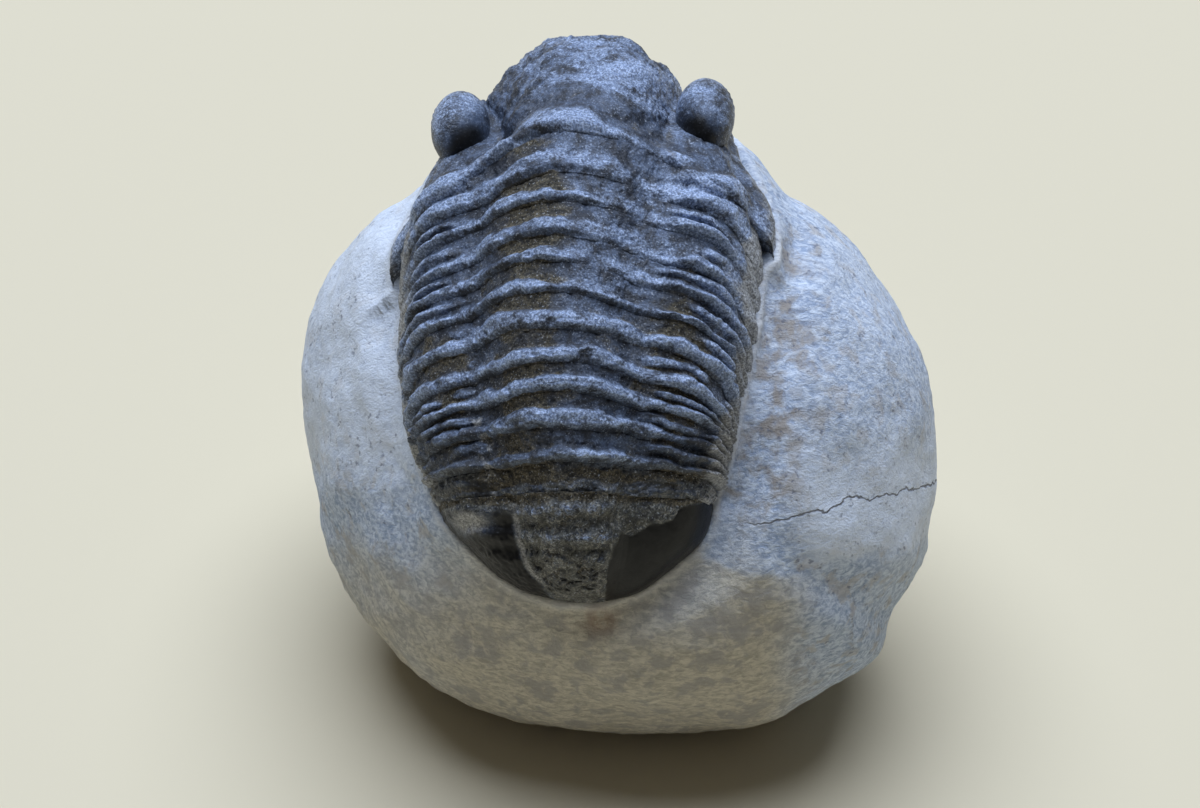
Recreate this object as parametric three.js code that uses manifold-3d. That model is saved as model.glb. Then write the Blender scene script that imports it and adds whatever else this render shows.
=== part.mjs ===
import * as THREE from 'three';
import { mergeVertices } from 'three/addons/utils/BufferGeometryUtils.js';
import Module from 'manifold-3d';

// A trilobite fossil in relief on the rounded piece of limestone that it lies in.
// Millimetres, +Z up, origin in the middle of the flat base.
// The animal bends over the stone: its tail faces -Y and its head lies over the top, towards +Y.
//
// Everything is laid out in the bed frame: u to the right, v along the back towards the head,
// w out of the stone through the thorax. The bed leans back from the horizontal about X.

// The stone
const BED_LEAN = 50;                // degrees
const BASE_DEPTH = 16.5;            // from the stone's centre down to its flat base
const STONE_DEPTH = 18.2;           // from the stone's centre out to its front and to its back
const STONE_ROUNDNESS = 2.4;        // 2 is an ellipse in section, more is fuller
const STONE_SHEAR = 0.12;           // how much further out the right side lies than the left
const STONE_DETAIL = 10;
// Outline in the bed plane: degrees from +u, radius
const STONE_OUTLINE = [
  [0, 22.8], [11, 23.1], [22, 23.3], [38, 23.0], [51, 22.9], [61, 22.5], [80, 24.4], [104, 25.2],
  [126, 24.3], [139, 25.2], [152, 24.7], [165, 23.5], [184, 22.1], [212, 21.8], [230, 21.0],
  [247, 20.0], [266, 19.7], [286, 20.6], [299, 21.7], [313, 22.2], [323, 23.0], [330, 22.3],
  [342, 23.1], [353, 22.8], [360, 22.8],
];
const LUMPS = [                     // height, then waves per millimetre along u, v, w, then phase
  [0.32, 0.21, 0.17, 0.13, 0.4],
  [0.24, -0.19, 0.33, 0.27, 2.1],
  [0.16, 0.47, -0.36, 0.41, 4.0],
  [0.10, 0.61, 0.72, -0.55, 1.3],
];
const BEDDING_REACH = 4.5;          // the stone's surface meets the animal's edge within this
const BEDDING_RISE = 0.3;           // and ends this far above it

// The animal: its three regions from the tail forward, with the angle that each one bends
const PYGIDIUM = { length: 6.9, turn: 14 };
const THORAX = { length: 21.6, turn: 25 };
const CEPHALON = { length: 14.0, turn: 68 };
const START_TILT = -8;              // lean of the back at the tip of the tail, degrees
const TAIL = { u: -2.2, v: -9.6, w: 15.6 };
const NECK = PYGIDIUM.length + THORAX.length;
const FRONT = NECK + CEPHALON.length;

// Along the body s, in millimetres from the tip of the tail: roll in degrees, shift along u
const ROLL = [[0, 1], [6.9, 4], [14.9, 11], [21.9, 11.5], [28.5, 5.5], [42.5, 3]];
const SIDE_SHIFT = [[0, 0], [4, -0.35], [6.9, -0.85], [16.9, -0.75], [28.5, 0], [33, 0.2], [42.5, 0]];
// Half widths of the axis and of the whole body, heights of the axial furrow and of the axis on it
const AXIS_HALF = [
  [0, 1.0], [1.4, 2.4], [6.9, 4.1], [14.9, 5.2], [25.5, 5.8], [31.5, 5.8], [34.5, 6.3],
  [37, 6.9], [40, 6.7], [41.5, 5.2], [42.5, 2.4],
];
const BODY_HALF = [
  [0, 1.4], [0.4, 3.5], [1.2, 5.4], [2.6, 7.6], [4, 8.9], [6.9, 10], [12.9, 11.8], [18.9, 12.6],
  [28.5, 12.9],
];
const CEPHALON_HALF = [
  [22, 13.6], [26, 13.4], [30.3, 11.8], [34, 10.6], [38, 9.1], [40.5, 7.2], [41.9, 5.0], [42.5, 3.2],
];
const FURROW_HEIGHT = [
  [0, 0.3], [1, 1.5], [3.2, 3.2], [6.9, 4.7], [16.9, 6.7], [28.5, 7.0], [30.7, 5.3], [32.5, 4.2],
  [36.5, 3.1], [39.5, 2.1], [41.5, 1.0], [42.5, 0.3],
];
const AXIS_HEIGHT = [
  [0, 0.3], [0.7, 0.7], [2.4, 1.8], [6.9, 2.7], [16.9, 3.1], [28.5, 3.3], [30.3, 4.2], [31.7, 4.2],
  [33.5, 4.7], [36.5, 5.0], [39, 4.7], [41, 3.5], [42.5, 0.8],
];
const FURROW_Q = 0.45;              // q runs from -1 at the left edge to 1 at the right edge
const PLEURA_WIDTH_POWER = 0.87;
const PLEURA_HEIGHT_POWER = 1.05;
const THORAX_VAULT_POWER = 1.9;
const HEAD_VAULT_POWER = 1.2;

// The plates
const SEGMENT_LENGTHS = [1.81, 1.88, 1.93, 1.75, 2.02, 2.07, 1.76, 1.69, 2.17, 1.79, 2.73];
// How much of the full backward bend the joints have at s
const SWEEP_SHARE = [[6.9, 0.1], [9, 0.25], [11, 0.5], [13, 0.75], [15, 0.95], [18, 1.0], [28.5, 1.0]];
const SINK = 1.8;                   // their undersides lie this deep in the stone
const GAP = 0.3;                    // between two plates, and between a plate and the stone
const RING_RELIEF = 0.75;
const RIB_RELIEF = 0.55;
const TAIL_RIB_RELIEF = 0.28;
const TAIL_RIBS = 6;
const CHEEK_STEP = 1.3;             // how far the head's rear edge bends back beside the axis
const GENAL_REACH = { left: -0.3, right: -0.8 };  // and how much further at its corners
const EYE = { forward: 3.9, side: 8.8, height: 4.55, length: 2.4, width: 2.0, rise: 2.25 };
const BED_MARGIN = 0.5;             // the hollow in the stone is this much larger than the plates
const TO_ORIGIN = { x: 0.05, y: -0.83 };  // brings the middle of the whole over the origin

const radians = THREE.MathUtils.degToRad;
const clamp = THREE.MathUtils.clamp;
const smooth = THREE.MathUtils.smoothstep;

// Value of a table of [place, value] rows at x, on a smooth curve that never overshoots a row
function along(rows, x) {
  const last = rows.length - 1;
  if (x <= rows[0][0]) return rows[0][1];
  if (x >= rows[last][0]) return rows[last][1];
  const secant = (k) => (rows[k + 1][1] - rows[k][1]) / (rows[k + 1][0] - rows[k][0]);
  const slope = (k) => {
    if (k === 0) return secant(0);
    if (k === last) return secant(last - 1);
    const before = secant(k - 1);
    const after = secant(k);
    return before * after <= 0 ? 0 : 2 * before * after / (before + after);
  };
  const i = rows.findIndex((row) => row[0] > x) - 1;
  const span = rows[i + 1][0] - rows[i][0];
  const t = (x - rows[i][0]) / span;
  const ends = rows[i][1] * (1 + 2 * t) * (1 - t) ** 2 + rows[i + 1][1] * t * t * (3 - 2 * t);
  return ends + span * (slope(i) * t * (1 - t) ** 2 - slope(i + 1) * t * t * (1 - t));
}

// The base line of the body at s: v, w and the tilt of its back above w, over three arcs
function spine(s) {
  const arcs = [PYGIDIUM, THORAX, CEPHALON];
  let { v, w } = TAIL;
  let tilt = radians(START_TILT);
  let left = s;
  arcs.forEach(({ length, turn }, i) => {
    const bend = radians(turn) / length;
    const first = i === 0;
    const final = i === arcs.length - 1;
    const step = clamp(left, first ? -length : 0, final ? 2 * length : length);
    const end = tilt + bend * step;
    v += (Math.sin(end) - Math.sin(tilt)) / bend;
    w += (Math.cos(end) - Math.cos(tilt)) / bend;
    tilt = end;
    left -= length;
  });
  return { v, w, tilt };
}

// Bed point of the place s along the body, x across it and z above its base line
function place(s, x, z) {
  const { v, w, tilt } = spine(s);
  const roll = radians(along(ROLL, s));
  const across = x * Math.cos(roll) - z * Math.sin(roll);
  const out = x * Math.sin(roll) + z * Math.cos(roll);
  return [
    TAIL.u + along(SIDE_SHIFT, s) + across,
    v + out * Math.sin(tilt),
    w + out * Math.cos(tilt),
  ];
}

// Bed point to standing point, with the base at z = 0
function stand([u, v, w]) {
  const lean = radians(BED_LEAN);
  return [
    u,
    v * Math.cos(lean) - w * Math.sin(lean),
    v * Math.sin(lean) + w * Math.cos(lean) + BASE_DEPTH,
  ];
}

// Cross-section of the back: a vaulted axis between two pleural lobes
function section(s, q, half) {
  const a = Math.abs(q);
  const width = half(s);
  const axis = Math.min(along(AXIS_HALF, s), 0.8 * width);
  const furrow = along(FURROW_HEIGHT, s);
  if (a < FURROW_Q) {
    const turn = a / FURROW_Q * Math.PI / 2;
    const power = THREE.MathUtils.lerp(THORAX_VAULT_POWER, HEAD_VAULT_POWER, smooth(s, NECK, NECK + 3.5));
    const vault = Math.max(Math.cos(turn), 0) ** power;
    return [Math.sign(q) * axis * Math.sin(turn), furrow + along(AXIS_HEIGHT, s) * vault];
  }
  const turn = (a - FURROW_Q) / (1 - FURROW_Q) * Math.PI / 2;
  const reach = axis + (width - axis) * Math.sin(turn) ** PLEURA_WIDTH_POWER;
  return [Math.sign(q) * reach, furrow * Math.max(Math.cos(turn), 0) ** PLEURA_HEIGHT_POWER];
}

// Bed point of the back, raised square to the cross-section
function backPoint(s, q, half, raise) {
  const step = 0.02;
  const [x, z] = section(s, q, half);
  const [x0, z0] = section(s, Math.max(q - step, -1), half);
  const [x1, z1] = section(s, Math.min(q + step, 1), half);
  const length = Math.hypot(x1 - x0, z1 - z0);
  return place(s, x - (z1 - z0) / length * raise, z + (x1 - x0) / length * raise);
}

const bodyHalf = (s) => along(BODY_HALF, s);
const cephalonHalf = (s) => along(CEPHALON_HALF, s);

// The line between two plates bends back from the axis to the edges, with a slight slant to the right
function sweep(q) {
  const a = Math.abs(q);
  const ring = 0.65 * Math.min(a / FURROW_Q, 1) ** 2;
  const side = Math.max((a - FURROW_Q) / (1 - FURROW_Q), 0);
  return -ring - 0.5 * side - 3.4 * side ** 2.5 - 0.45 * q;
}
const swept = (s, q) => s + sweep(q) * along(SWEEP_SHARE, s);
function cheekSweep(q) {
  const a = Math.abs(q);
  const reach = q < 0 ? GENAL_REACH.left : GENAL_REACH.right;
  return sweep(q) - CHEEK_STEP * smooth(a, 0.42, 0.56) - reach * smooth(a, 0.6, 1);
}

// Middle of the joint behind plate k, counted forward from the pygidium
function jointAt(k) {
  const total = SEGMENT_LENGTHS.reduce((sum, length) => sum + length, 0);
  const behind = SEGMENT_LENGTHS.slice(0, k).reduce((sum, length) => sum + length, 0);
  return PYGIDIUM.length + THORAX.length * behind / total;
}

// Rounded ridge over a band of t from a to b, highest at its middle
const ridge = (t, a, b) => Math.sin(Math.PI * clamp((t - a) / (b - a), 0, 1)) ** 1.4;

// Height of a thoracic plate's relief: one ring on the axis, a strong and a weak rib at the sides
function plateRelief(t, q) {
  const a = Math.abs(q);
  const ring = RING_RELIEF * ridge(t, -0.05, 0.85);
  const ribs = RIB_RELIEF * (ridge(t, 0.0, 0.6) + 0.55 * ridge(t, 0.6, 1.0));
  const edge = 1 - 0.7 * smooth(a, 0.75, 1);
  return THREE.MathUtils.lerp(ring, ribs, smooth(a, 0.4, 0.5)) * edge;
}

function cephalonRelief(ahead, q) {
  const a = Math.abs(q);
  const occipital = 0.6 * ridge(ahead, 0.0, 2.3) - 0.5 * ridge(ahead, 1.9, 3.8);
  const border = 0.55 * ridge(ahead, 0.1, 1.6) - 0.35 * ridge(ahead, 1.5, 2.9);
  const rim = 0.2 * ridge(a, 0.86, 1) - 0.25 * ridge(a, 0.74, 0.9);
  const edge = 1 - 0.7 * smooth(a, 0.75, 1);
  return THREE.MathUtils.lerp(occipital, border, smooth(a, 0.4, 0.5)) * edge + rim;
}

function pygidiumRelief(s, q) {
  const a = Math.abs(q);
  const wave = Math.cos(2 * Math.PI * TAIL_RIBS * s / (PYGIDIUM.length + 2));
  return TAIL_RIB_RELIEF * wave * (1 - smooth(a, 0.55, 0.9)) * smooth(s, 0.5, 2.5);
}

// Closed solid over a grid: rows run forward, columns run from left to right.
// The underside keeps only every few rows, so it costs few faces.
function slab(rows, columns, top, under, every) {
  const points = [];
  const faces = [];
  const lower = rows.map((row, r) => r).filter((r) => r % every === 0 || r === rows.length - 1);
  rows.forEach((row) => columns.forEach((column) => points.push(stand(top(row, column)))));
  lower.forEach((r) => columns.forEach((column) => points.push(stand(under(rows[r], column)))));
  const last = columns.length - 1;
  const front = rows.length - 1;
  const T = (r, c) => r * columns.length + c;
  const B = (n, c) => (rows.length + n) * columns.length + c;
  const quad = (a, b, c, d) => faces.push(a, b, c, a, c, d);
  for (let c = 0; c < last; c += 1) {
    for (let r = 0; r < front; r += 1) {
      quad(T(r, c), T(r, c + 1), T(r + 1, c + 1), T(r + 1, c));
    }
    for (let n = 0; n < lower.length - 1; n += 1) {
      quad(B(n, c), B(n + 1, c), B(n + 1, c + 1), B(n, c + 1));
    }
    quad(T(0, c), B(0, c), B(0, c + 1), T(0, c + 1));
    quad(T(front, c), T(front, c + 1), B(lower.length - 1, c + 1), B(lower.length - 1, c));
  }
  for (let n = 0; n < lower.length - 1; n += 1) {
    for (let r = lower[n]; r < lower[n + 1]; r += 1) {
      faces.push(B(n, 0), T(r, 0), T(r + 1, 0));
      faces.push(B(n, last), T(r + 1, last), T(r, last));
    }
    faces.push(B(n, 0), T(lower[n + 1], 0), B(n + 1, 0));
    faces.push(B(n, last), B(n + 1, last), T(lower[n + 1], last));
  }
  return { points, faces };
}

// Columns across the back, closer together at the furrows and the edges
const HALF_COLUMNS = [0.13, 0.26, 0.37, 0.45, 0.53, 0.64, 0.76, 0.88, 0.96, 1];
const COLUMNS = [...HALF_COLUMNS.map((q) => -q).reverse(), 0, ...HALF_COLUMNS];
const CEPHALON_ROWS = [
  0, 0.04, 0.09, 0.15, 0.2, 0.26, 0.34, 0.43, 0.52, 0.61, 0.7, 0.78, 0.85, 0.91, 0.96, 1,
];
function evenly(count, from, to) {
  return Array.from({ length: count + 1 }, (_, i) => from + (to - from) * i / count);
}
// Closer together towards the end
function easing(count, from, to) {
  return evenly(count, 0, Math.PI / 2).map((a) => from + (to - from) * Math.sin(a));
}

const wasm = await Module();
wasm.setup();

function solid({ points, faces }) {
  const geometry = new THREE.BufferGeometry();
  geometry.setAttribute('position', new THREE.Float32BufferAttribute(points.flat(), 3));
  geometry.setIndex(faces);
  return solidOf(geometry);
}

function solidOf(source) {
  const geometry = source.clone();
  geometry.deleteAttribute('normal');
  geometry.deleteAttribute('uv');
  const merged = mergeVertices(geometry);
  const mesh = new wasm.Mesh({
    numProp: 3,
    vertProperties: new Float32Array(merged.attributes.position.array),
    triVerts: new Uint32Array(merged.index.array),
  });
  return new wasm.Manifold(mesh);
}

function geometryOf(manifold) {
  const mesh = manifold.getMesh();
  const geometry = new THREE.BufferGeometry();
  geometry.setAttribute('position', new THREE.BufferAttribute(new Float32Array(mesh.vertProperties), 3));
  geometry.setIndex(new THREE.BufferAttribute(new Uint32Array(mesh.triVerts), 1));
  geometry.computeVertexNormals();
  return geometry;
}

function pygidium() {
  const front = PYGIDIUM.length - GAP / 2;
  const rows = easing(9, front, 0).reverse();
  const at = (row, q) => row * swept(front, q) / front;
  return solid(slab(
    rows,
    COLUMNS,
    (row, q) => backPoint(at(row, q), q, bodyHalf, pygidiumRelief(row, q)),
    (row, q) => place(at(row, q), q * bodyHalf(at(row, q)), -SINK),
    3,
  ));
}

function segment(k) {
  const behind = jointAt(k) + GAP / 2;
  const ahead = jointAt(k + 1) - GAP / 2;
  const at = (t, q) => swept(THREE.MathUtils.lerp(behind, ahead, t), q);
  return solid(slab(
    [0, 0.18, 0.4, 0.62, 0.8, 1],
    COLUMNS,
    (t, q) => backPoint(at(t, q), q, bodyHalf, plateRelief(t, q)),
    (t, q) => place(at(t, q), q * bodyHalf(at(t, q)), -SINK),
    5,
  ));
}

// The head, with its outside grown by a margin when it is used as a cutter
function head(grow) {
  const behind = NECK + GAP / 2 - grow;
  const reach = FRONT - behind + grow;
  const line = (q) => cheekSweep(q) - 1.2 * grow * smooth(Math.abs(q), 0.5, 0.75);
  const at = (t, q) => behind + line(q) * (1 - t) ** 2 + reach * t;
  const half = (s) => cephalonHalf(s) + grow;
  return solid(slab(
    CEPHALON_ROWS,
    COLUMNS,
    (t, q) => backPoint(at(t, q), q, half, cephalonRelief(reach * t, q) + grow),
    (t, q) => place(at(t, q), q * half(at(t, q)), -SINK - grow),
    3,
  ));
}

// The smooth dome of one eye, flattened against the cheek
function eye(side) {
  const geometry = new THREE.IcosahedronGeometry(1, 4);
  const position = geometry.attributes.position;
  for (let i = 0; i < position.count; i += 1) {
    const across = position.getX(i) * EYE.width;
    const forward = position.getY(i) * EYE.length;
    const up = position.getZ(i) * EYE.rise;
    const point = place(NECK + EYE.forward + forward, side * EYE.side + across, EYE.height + up);
    position.setXYZ(i, ...stand(point));
  }
  return solidOf(geometry);
}

// Half width of everything that lies in the stone at s, on one side of the body
function buriedHalf(s, side) {
  return s < NECK + cheekSweep(side) - GAP ? bodyHalf(s) : cephalonHalf(s);
}

// The hollow in the stone that the animal lies in
function bed() {
  const corners = [1, -1].flatMap((side) => {
    const corner = NECK + cheekSweep(side) - GAP;
    return [corner - 0.1, corner];
  });
  const rows = [
    -BED_MARGIN, 0, 0.5, 1.5, 3, 4, ...evenly(6, 5.5, corners[0] - 1.5), ...corners,
    ...evenly(5, NECK - 3, 36.5), 38, 39.3, 40.5, 41.4, 42, FRONT, FRONT + BED_MARGIN,
  ];
  const reach = (s, q) => {
    const nearest = clamp(s < PYGIDIUM.length ? s + BED_MARGIN : s, 0, FRONT);
    return q * (buriedHalf(nearest, q) + BED_MARGIN);
  };
  return solid(slab(
    rows,
    [-1, -0.5, 0, 0.5, 1],
    (s, q) => place(s, reach(s, q), 9),
    (s, q) => place(s, reach(s, q), -SINK - BED_MARGIN),
    1,
  ));
}

// The pedestal of stone that is left under the head
function pedestal() {
  return solid(slab(
    [...evenly(6, NECK - 7, 39), 41, FRONT - 0.4],
    [-1, -0.5, 0, 0.5, 1],
    (s, q) => place(s, q * (cephalonHalf(s) - 0.5), 0.4),
    (s, q) => place(s, q * (cephalonHalf(s) - 0.5), -8.5),
    1,
  ));
}

// Where a bed point lies beside the animal: its nearest s, and how far it is outside the edge
function beside(u, v) {
  let s = 0;
  for (let step = 0; step < 12; step += 1) s += v - spine(s).v;
  s = clamp(s, 0, NECK + 4);
  const side = Math.sign(u - TAIL.u) || 1;
  const edge = place(s, side * buriedHalf(s, side), 0);
  const outside = side * (u - edge[0]);
  const behind = Math.max(TAIL.v - v, 0);
  return { level: edge[2], distance: Math.hypot(Math.max(outside, 0), behind) };
}

function lumps(u, v, w) {
  return LUMPS.reduce((sum, [height, fu, fv, fw, phase]) => {
    const across = Math.sin(fu * u + phase) * Math.sin(fv * v + 2 * phase);
    return sum + height * across * Math.sin(fw * w + 3 * phase);
  }, 0);
}

function nodule() {
  const geometry = new THREE.IcosahedronGeometry(1, STONE_DETAIL);
  const position = geometry.attributes.position;
  for (let i = 0; i < position.count; i += 1) {
    const turn = THREE.MathUtils.euclideanModulo(
      THREE.MathUtils.radToDeg(Math.atan2(position.getY(i), position.getX(i))), 360);
    const rise = Math.asin(clamp(position.getZ(i), -1, 1));
    const out = along(STONE_OUTLINE, turn) * Math.cos(rise) ** (2 / STONE_ROUNDNESS);
    const u = out * Math.cos(radians(turn));
    const v = out * Math.sin(radians(turn));
    let w = STONE_DEPTH * Math.sin(rise) + STONE_SHEAR * u;
    const bumps = lumps(u, v, w);
    if (w > 4) {
      const { level, distance } = beside(u, v);
      const near = 1 - smooth(distance, 0.6, BEDDING_REACH);
      w = THREE.MathUtils.lerp(w, level + BEDDING_RISE, near * smooth(w, 4, 9));
    }
    const swell = 1 + bumps / Math.hypot(u, v, w);
    const [x, y, z] = stand([u * swell, v * swell, w * swell]);
    position.setXYZ(i, x, y, Math.max(z, 0));
  }
  return solidOf(geometry);
}

const material = {
  stone: () => new THREE.MeshStandardMaterial({ color: 0x98968f, roughness: 0.93, metalness: 0 }),
  shell: () => new THREE.MeshStandardMaterial({ color: 0x2b2e35, roughness: 0.5, metalness: 0 }),
};

const group = new THREE.Group();
function add(name, manifold, kind) {
  const mesh = new THREE.Mesh(geometryOf(manifold), material[kind]());
  mesh.name = name;
  group.add(mesh);
}

const cephalon = head(0).add(eye(-1)).add(eye(1));
const cutter = head(BED_MARGIN);
add('matrix', nodule().add(pedestal()).subtract(bed()), 'stone');
add('cephalon', cephalon, 'shell');
for (let number = 1; number <= SEGMENT_LENGTHS.length; number += 1) {
  const plate = segment(SEGMENT_LENGTHS.length - number);
  const name = `thoracic_segment_${String(number).padStart(2, '0')}`;
  add(name, number === 1 ? plate.subtract(cutter) : plate, 'shell');
}
add('pygidium', pygidium(), 'shell');

group.position.set(TO_ORIGIN.x, TO_ORIGIN.y, 0);

export default group;
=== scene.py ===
import math

import bpy
import numpy as np
from mathutils import Matrix


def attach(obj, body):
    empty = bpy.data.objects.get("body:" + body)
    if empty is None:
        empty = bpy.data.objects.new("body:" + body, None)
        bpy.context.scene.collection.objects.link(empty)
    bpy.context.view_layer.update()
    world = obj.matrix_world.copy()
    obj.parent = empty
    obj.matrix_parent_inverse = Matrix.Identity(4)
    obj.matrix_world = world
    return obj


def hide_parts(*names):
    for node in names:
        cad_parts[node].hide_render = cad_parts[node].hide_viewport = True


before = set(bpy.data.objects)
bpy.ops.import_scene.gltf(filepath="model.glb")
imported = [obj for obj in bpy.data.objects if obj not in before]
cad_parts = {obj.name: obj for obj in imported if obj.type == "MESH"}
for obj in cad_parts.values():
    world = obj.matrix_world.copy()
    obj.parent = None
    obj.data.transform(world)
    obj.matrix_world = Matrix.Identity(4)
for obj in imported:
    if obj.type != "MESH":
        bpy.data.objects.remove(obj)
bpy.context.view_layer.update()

# The bed frame: u to the right, v along the back towards the head, w out of the stone, in millimetres.
# It leans back, and its zero point is this high above the floor and this far from the origin in X and Y.
MM = 0.001
BED_LEAN = math.radians(50)
BASE_DEPTH = 16.5
SHIFT = (0.05, -0.83)

# The animal, by place along its base line from the tail
ARCS = [(6.9, 14), (21.6, 25), (14.0, 68)]     # length and turn of pygidium, thorax and cephalon
START_TILT = -8                                # degrees
TAIL = (-2.2, -9.6, 15.6)                      # where the base line starts
PYGIDIUM_LENGTH = ARCS[0][0]
NECK = ARCS[0][0] + ARCS[1][0]
FRONT = NECK + ARCS[2][0]
ROLL = [(0, 1), (6.9, 4), (14.9, 11), (21.9, 11.5), (28.5, 5.5), (42.5, 3)]     # degrees
SIDE_SHIFT = [(0, 0), (4, -0.35), (6.9, -0.85), (16.9, -0.75), (28.5, 0), (33, 0.2), (42.5, 0)]
AXIS_HALF = [
    (0, 1.0), (1.4, 2.4), (6.9, 4.1), (14.9, 5.2), (25.5, 5.8), (31.5, 5.8), (34.5, 6.3),
    (37, 6.9), (40, 6.7), (41.5, 5.2), (42.5, 2.4),
]
BODY_HALF = [
    (0, 1.4), (0.4, 3.5), (1.2, 5.4), (2.6, 7.6), (4, 8.9), (6.9, 10), (12.9, 11.8), (18.9, 12.6),
    (28.5, 12.9),
]
CEPHALON_HALF = [
    (22, 13.6), (26, 13.4), (30.3, 11.8), (34, 10.6), (38, 9.1), (40.5, 7.2), (41.9, 5.0), (42.5, 3.2),
]
FURROW_HEIGHT = [
    (0, 0.3), (1, 1.5), (3.2, 3.2), (6.9, 4.7), (16.9, 6.7), (28.5, 7.0), (30.7, 5.3), (32.5, 4.2),
    (36.5, 3.1), (39.5, 2.1), (41.5, 1.0), (42.5, 0.3),
]
AXIS_HEIGHT = [
    (0, 0.3), (0.7, 0.7), (2.4, 1.8), (6.9, 2.7), (16.9, 3.1), (28.5, 3.3), (30.3, 4.2), (31.7, 4.2),
    (33.5, 4.7), (36.5, 5.0), (39, 4.7), (41, 3.5), (42.5, 0.8),
]
FURROW_Q = 0.45                   # share of the way from the middle to a margin where the furrows lie
VAULT_POWERS = (1.9, 1.2)         # of the axis, on the thorax and on the head
FLANK_POWERS = (0.87, 1.05)       # of the flanks, across and down
SOFTENING = ((-0.12, 0.12), (-0.06, 0.24), (0, 0.28), (0.06, 0.24), (0.12, 0.12))     # step in q and share
SEGMENT_LENGTHS = [1.81, 1.88, 1.93, 1.75, 2.02, 2.07, 1.76, 1.69, 2.17, 1.79, 2.73]  # from the tail
SWEEP_SHARE = [(6.9, 0.1), (9, 0.25), (11, 0.5), (13, 0.75), (15, 0.95), (18, 1.0), (28.5, 1.0)]
GENAL_REACH = (-0.3, -0.8)        # of the cheeks' rear corners, left and right, and negative is forward
SINK = 1.8                        # how deep the shell's undersides lie below the base line

# Where the body is narrower than its table: by how much, at which place and within which half width
NARROWER_RIGHT = [(1.1, 2.4, 2.2), (0.55, 11.5, 5.5)]
NARROWER_LEFT = [(0.8, 3.2, 1.9), (0.40, 7.8, 2.6), (0.25, 16, 7)]

# The stone: outline in the bed plane, degrees from +u and radius
STONE_OUTLINE = [
    (0, 22.8), (11, 23.1), (22, 23.3), (38, 23.0), (51, 22.9), (61, 22.5), (80, 24.4), (104, 25.2),
    (126, 24.3), (139, 25.2), (152, 24.7), (165, 23.5), (184, 22.1), (212, 21.8), (230, 21.0),
    (247, 20.0), (266, 19.7), (286, 20.6), (299, 21.7), (313, 22.2), (323, 23.0), (330, 22.3),
    (342, 23.1), (353, 22.8), (360, 22.8),
]
STONE_DEPTH = 18.2
STONE_ROUNDNESS = 2.4
STONE_SHEAR = 0.12
LUMPS = [                         # height, waves along u, v and w, and phase
    (0.32, 0.21, 0.17, 0.13, 0.4),
    (0.24, -0.19, 0.33, 0.27, 2.1),
    (0.16, 0.47, -0.36, 0.41, 4.0),
    (0.10, 0.61, 0.72, -0.55, 1.3),
]

# How fine the meshes are
PLATE_COLUMNS = 340
TAIL_ROWS, TAIL_COLUMNS = 90, 300
HEAD_COLUMNS = 380
EYE_RINGS, EYE_SPOKES = 64, 110
STONE_FRONT_ROWS, STONE_BACK_ROWS, STONE_SPOKES = 140, 62, 470

# The camera looks straight out of the bed frame, at this u and v
VIEW_POINT = (-1.303, 4.054)
VIEW_DISTANCE = 350.0
VIEW_LENS = 145.0
SENSOR = 36

# The lamp, in metres and watts, and the sky
LAMP_AT = (-0.02, 0.42, 1.24)
LAMP_AIM = (0, 0, 0.03)
LAMP_SIZE = 1.5
LAMP_POWER = 28.3
LAMP_COLOUR = (0.82, 0.93, 1.12)
SKY_COLOUR = (0.92, 0.93, 0.94, 1)
SKY_STRENGTH = 0.095


# Numbers

def along(rows, x):
    """Value of a table of rows at x, on a smooth curve that never overshoots a row."""
    xs, ys = np.array(rows, float).T
    x = np.clip(np.asarray(x, float), xs[0], xs[-1])
    span = np.diff(xs)
    secant = np.diff(ys) / span
    before, after = secant[:-1], secant[1:]
    total = np.where(before * after > 0, before + after, 1.0)
    middle = np.where(before * after > 0, 2 * before * after / total, 0.0)
    slope = np.concatenate([secant[:1], middle, secant[-1:]])
    i = np.clip(np.searchsorted(xs, x, side="right") - 1, 0, len(xs) - 2)
    t = (x - xs[i]) / span[i]
    ends = ys[i] * (1 + 2 * t) * (1 - t) ** 2 + ys[i + 1] * t * t * (3 - 2 * t)
    return ends + span[i] * (slope[i] * t * (1 - t) ** 2 - slope[i + 1] * t * t * (1 - t))


def smooth(x, a, b):
    t = np.clip((x - a) / (b - a), 0, 1)
    return t * t * (3 - 2 * t)


def mix(a, b, t):
    return a + (b - a) * t


def bump(x, centre, width):
    return np.exp(-((x - centre) / width) ** 2)


def unit(vector):
    return vector / np.linalg.norm(vector)


def noise(points, seed):
    """Gradient noise of unit wavelength at an array of points, about -1 to 1."""
    source = np.random.RandomState(seed)
    order = source.permutation(256)
    gradients = source.normal(size=(256, 3))
    gradients /= np.linalg.norm(gradients, axis=1, keepdims=True)
    cell = np.floor(points).astype(np.int64)
    inside = points - cell
    ease = inside ** 3 * (inside * (inside * 6 - 15) + 10)
    total = np.zeros(points.shape[:-1])
    for corner in np.ndindex(2, 2, 2):
        corner = np.array(corner)
        x, y, z = np.moveaxis((cell + corner) & 255, -1, 0)
        gradient = gradients[order[(order[(order[x] + y) & 255] + z) & 255]]
        weight = np.prod(np.where(corner == 1, ease, 1 - ease), axis=-1)
        total += weight * ((inside - corner) * gradient).sum(-1)
    return total * 1.6


def rough(points, wavelength, octaves, seed):
    """Layered noise, from one wavelength down by halves."""
    total = np.zeros(points.shape[:-1])
    for octave in range(octaves):
        total += noise(points * 2 ** octave / wavelength, seed + octave) * 0.5 ** octave
    return total


# The body's surface

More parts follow.
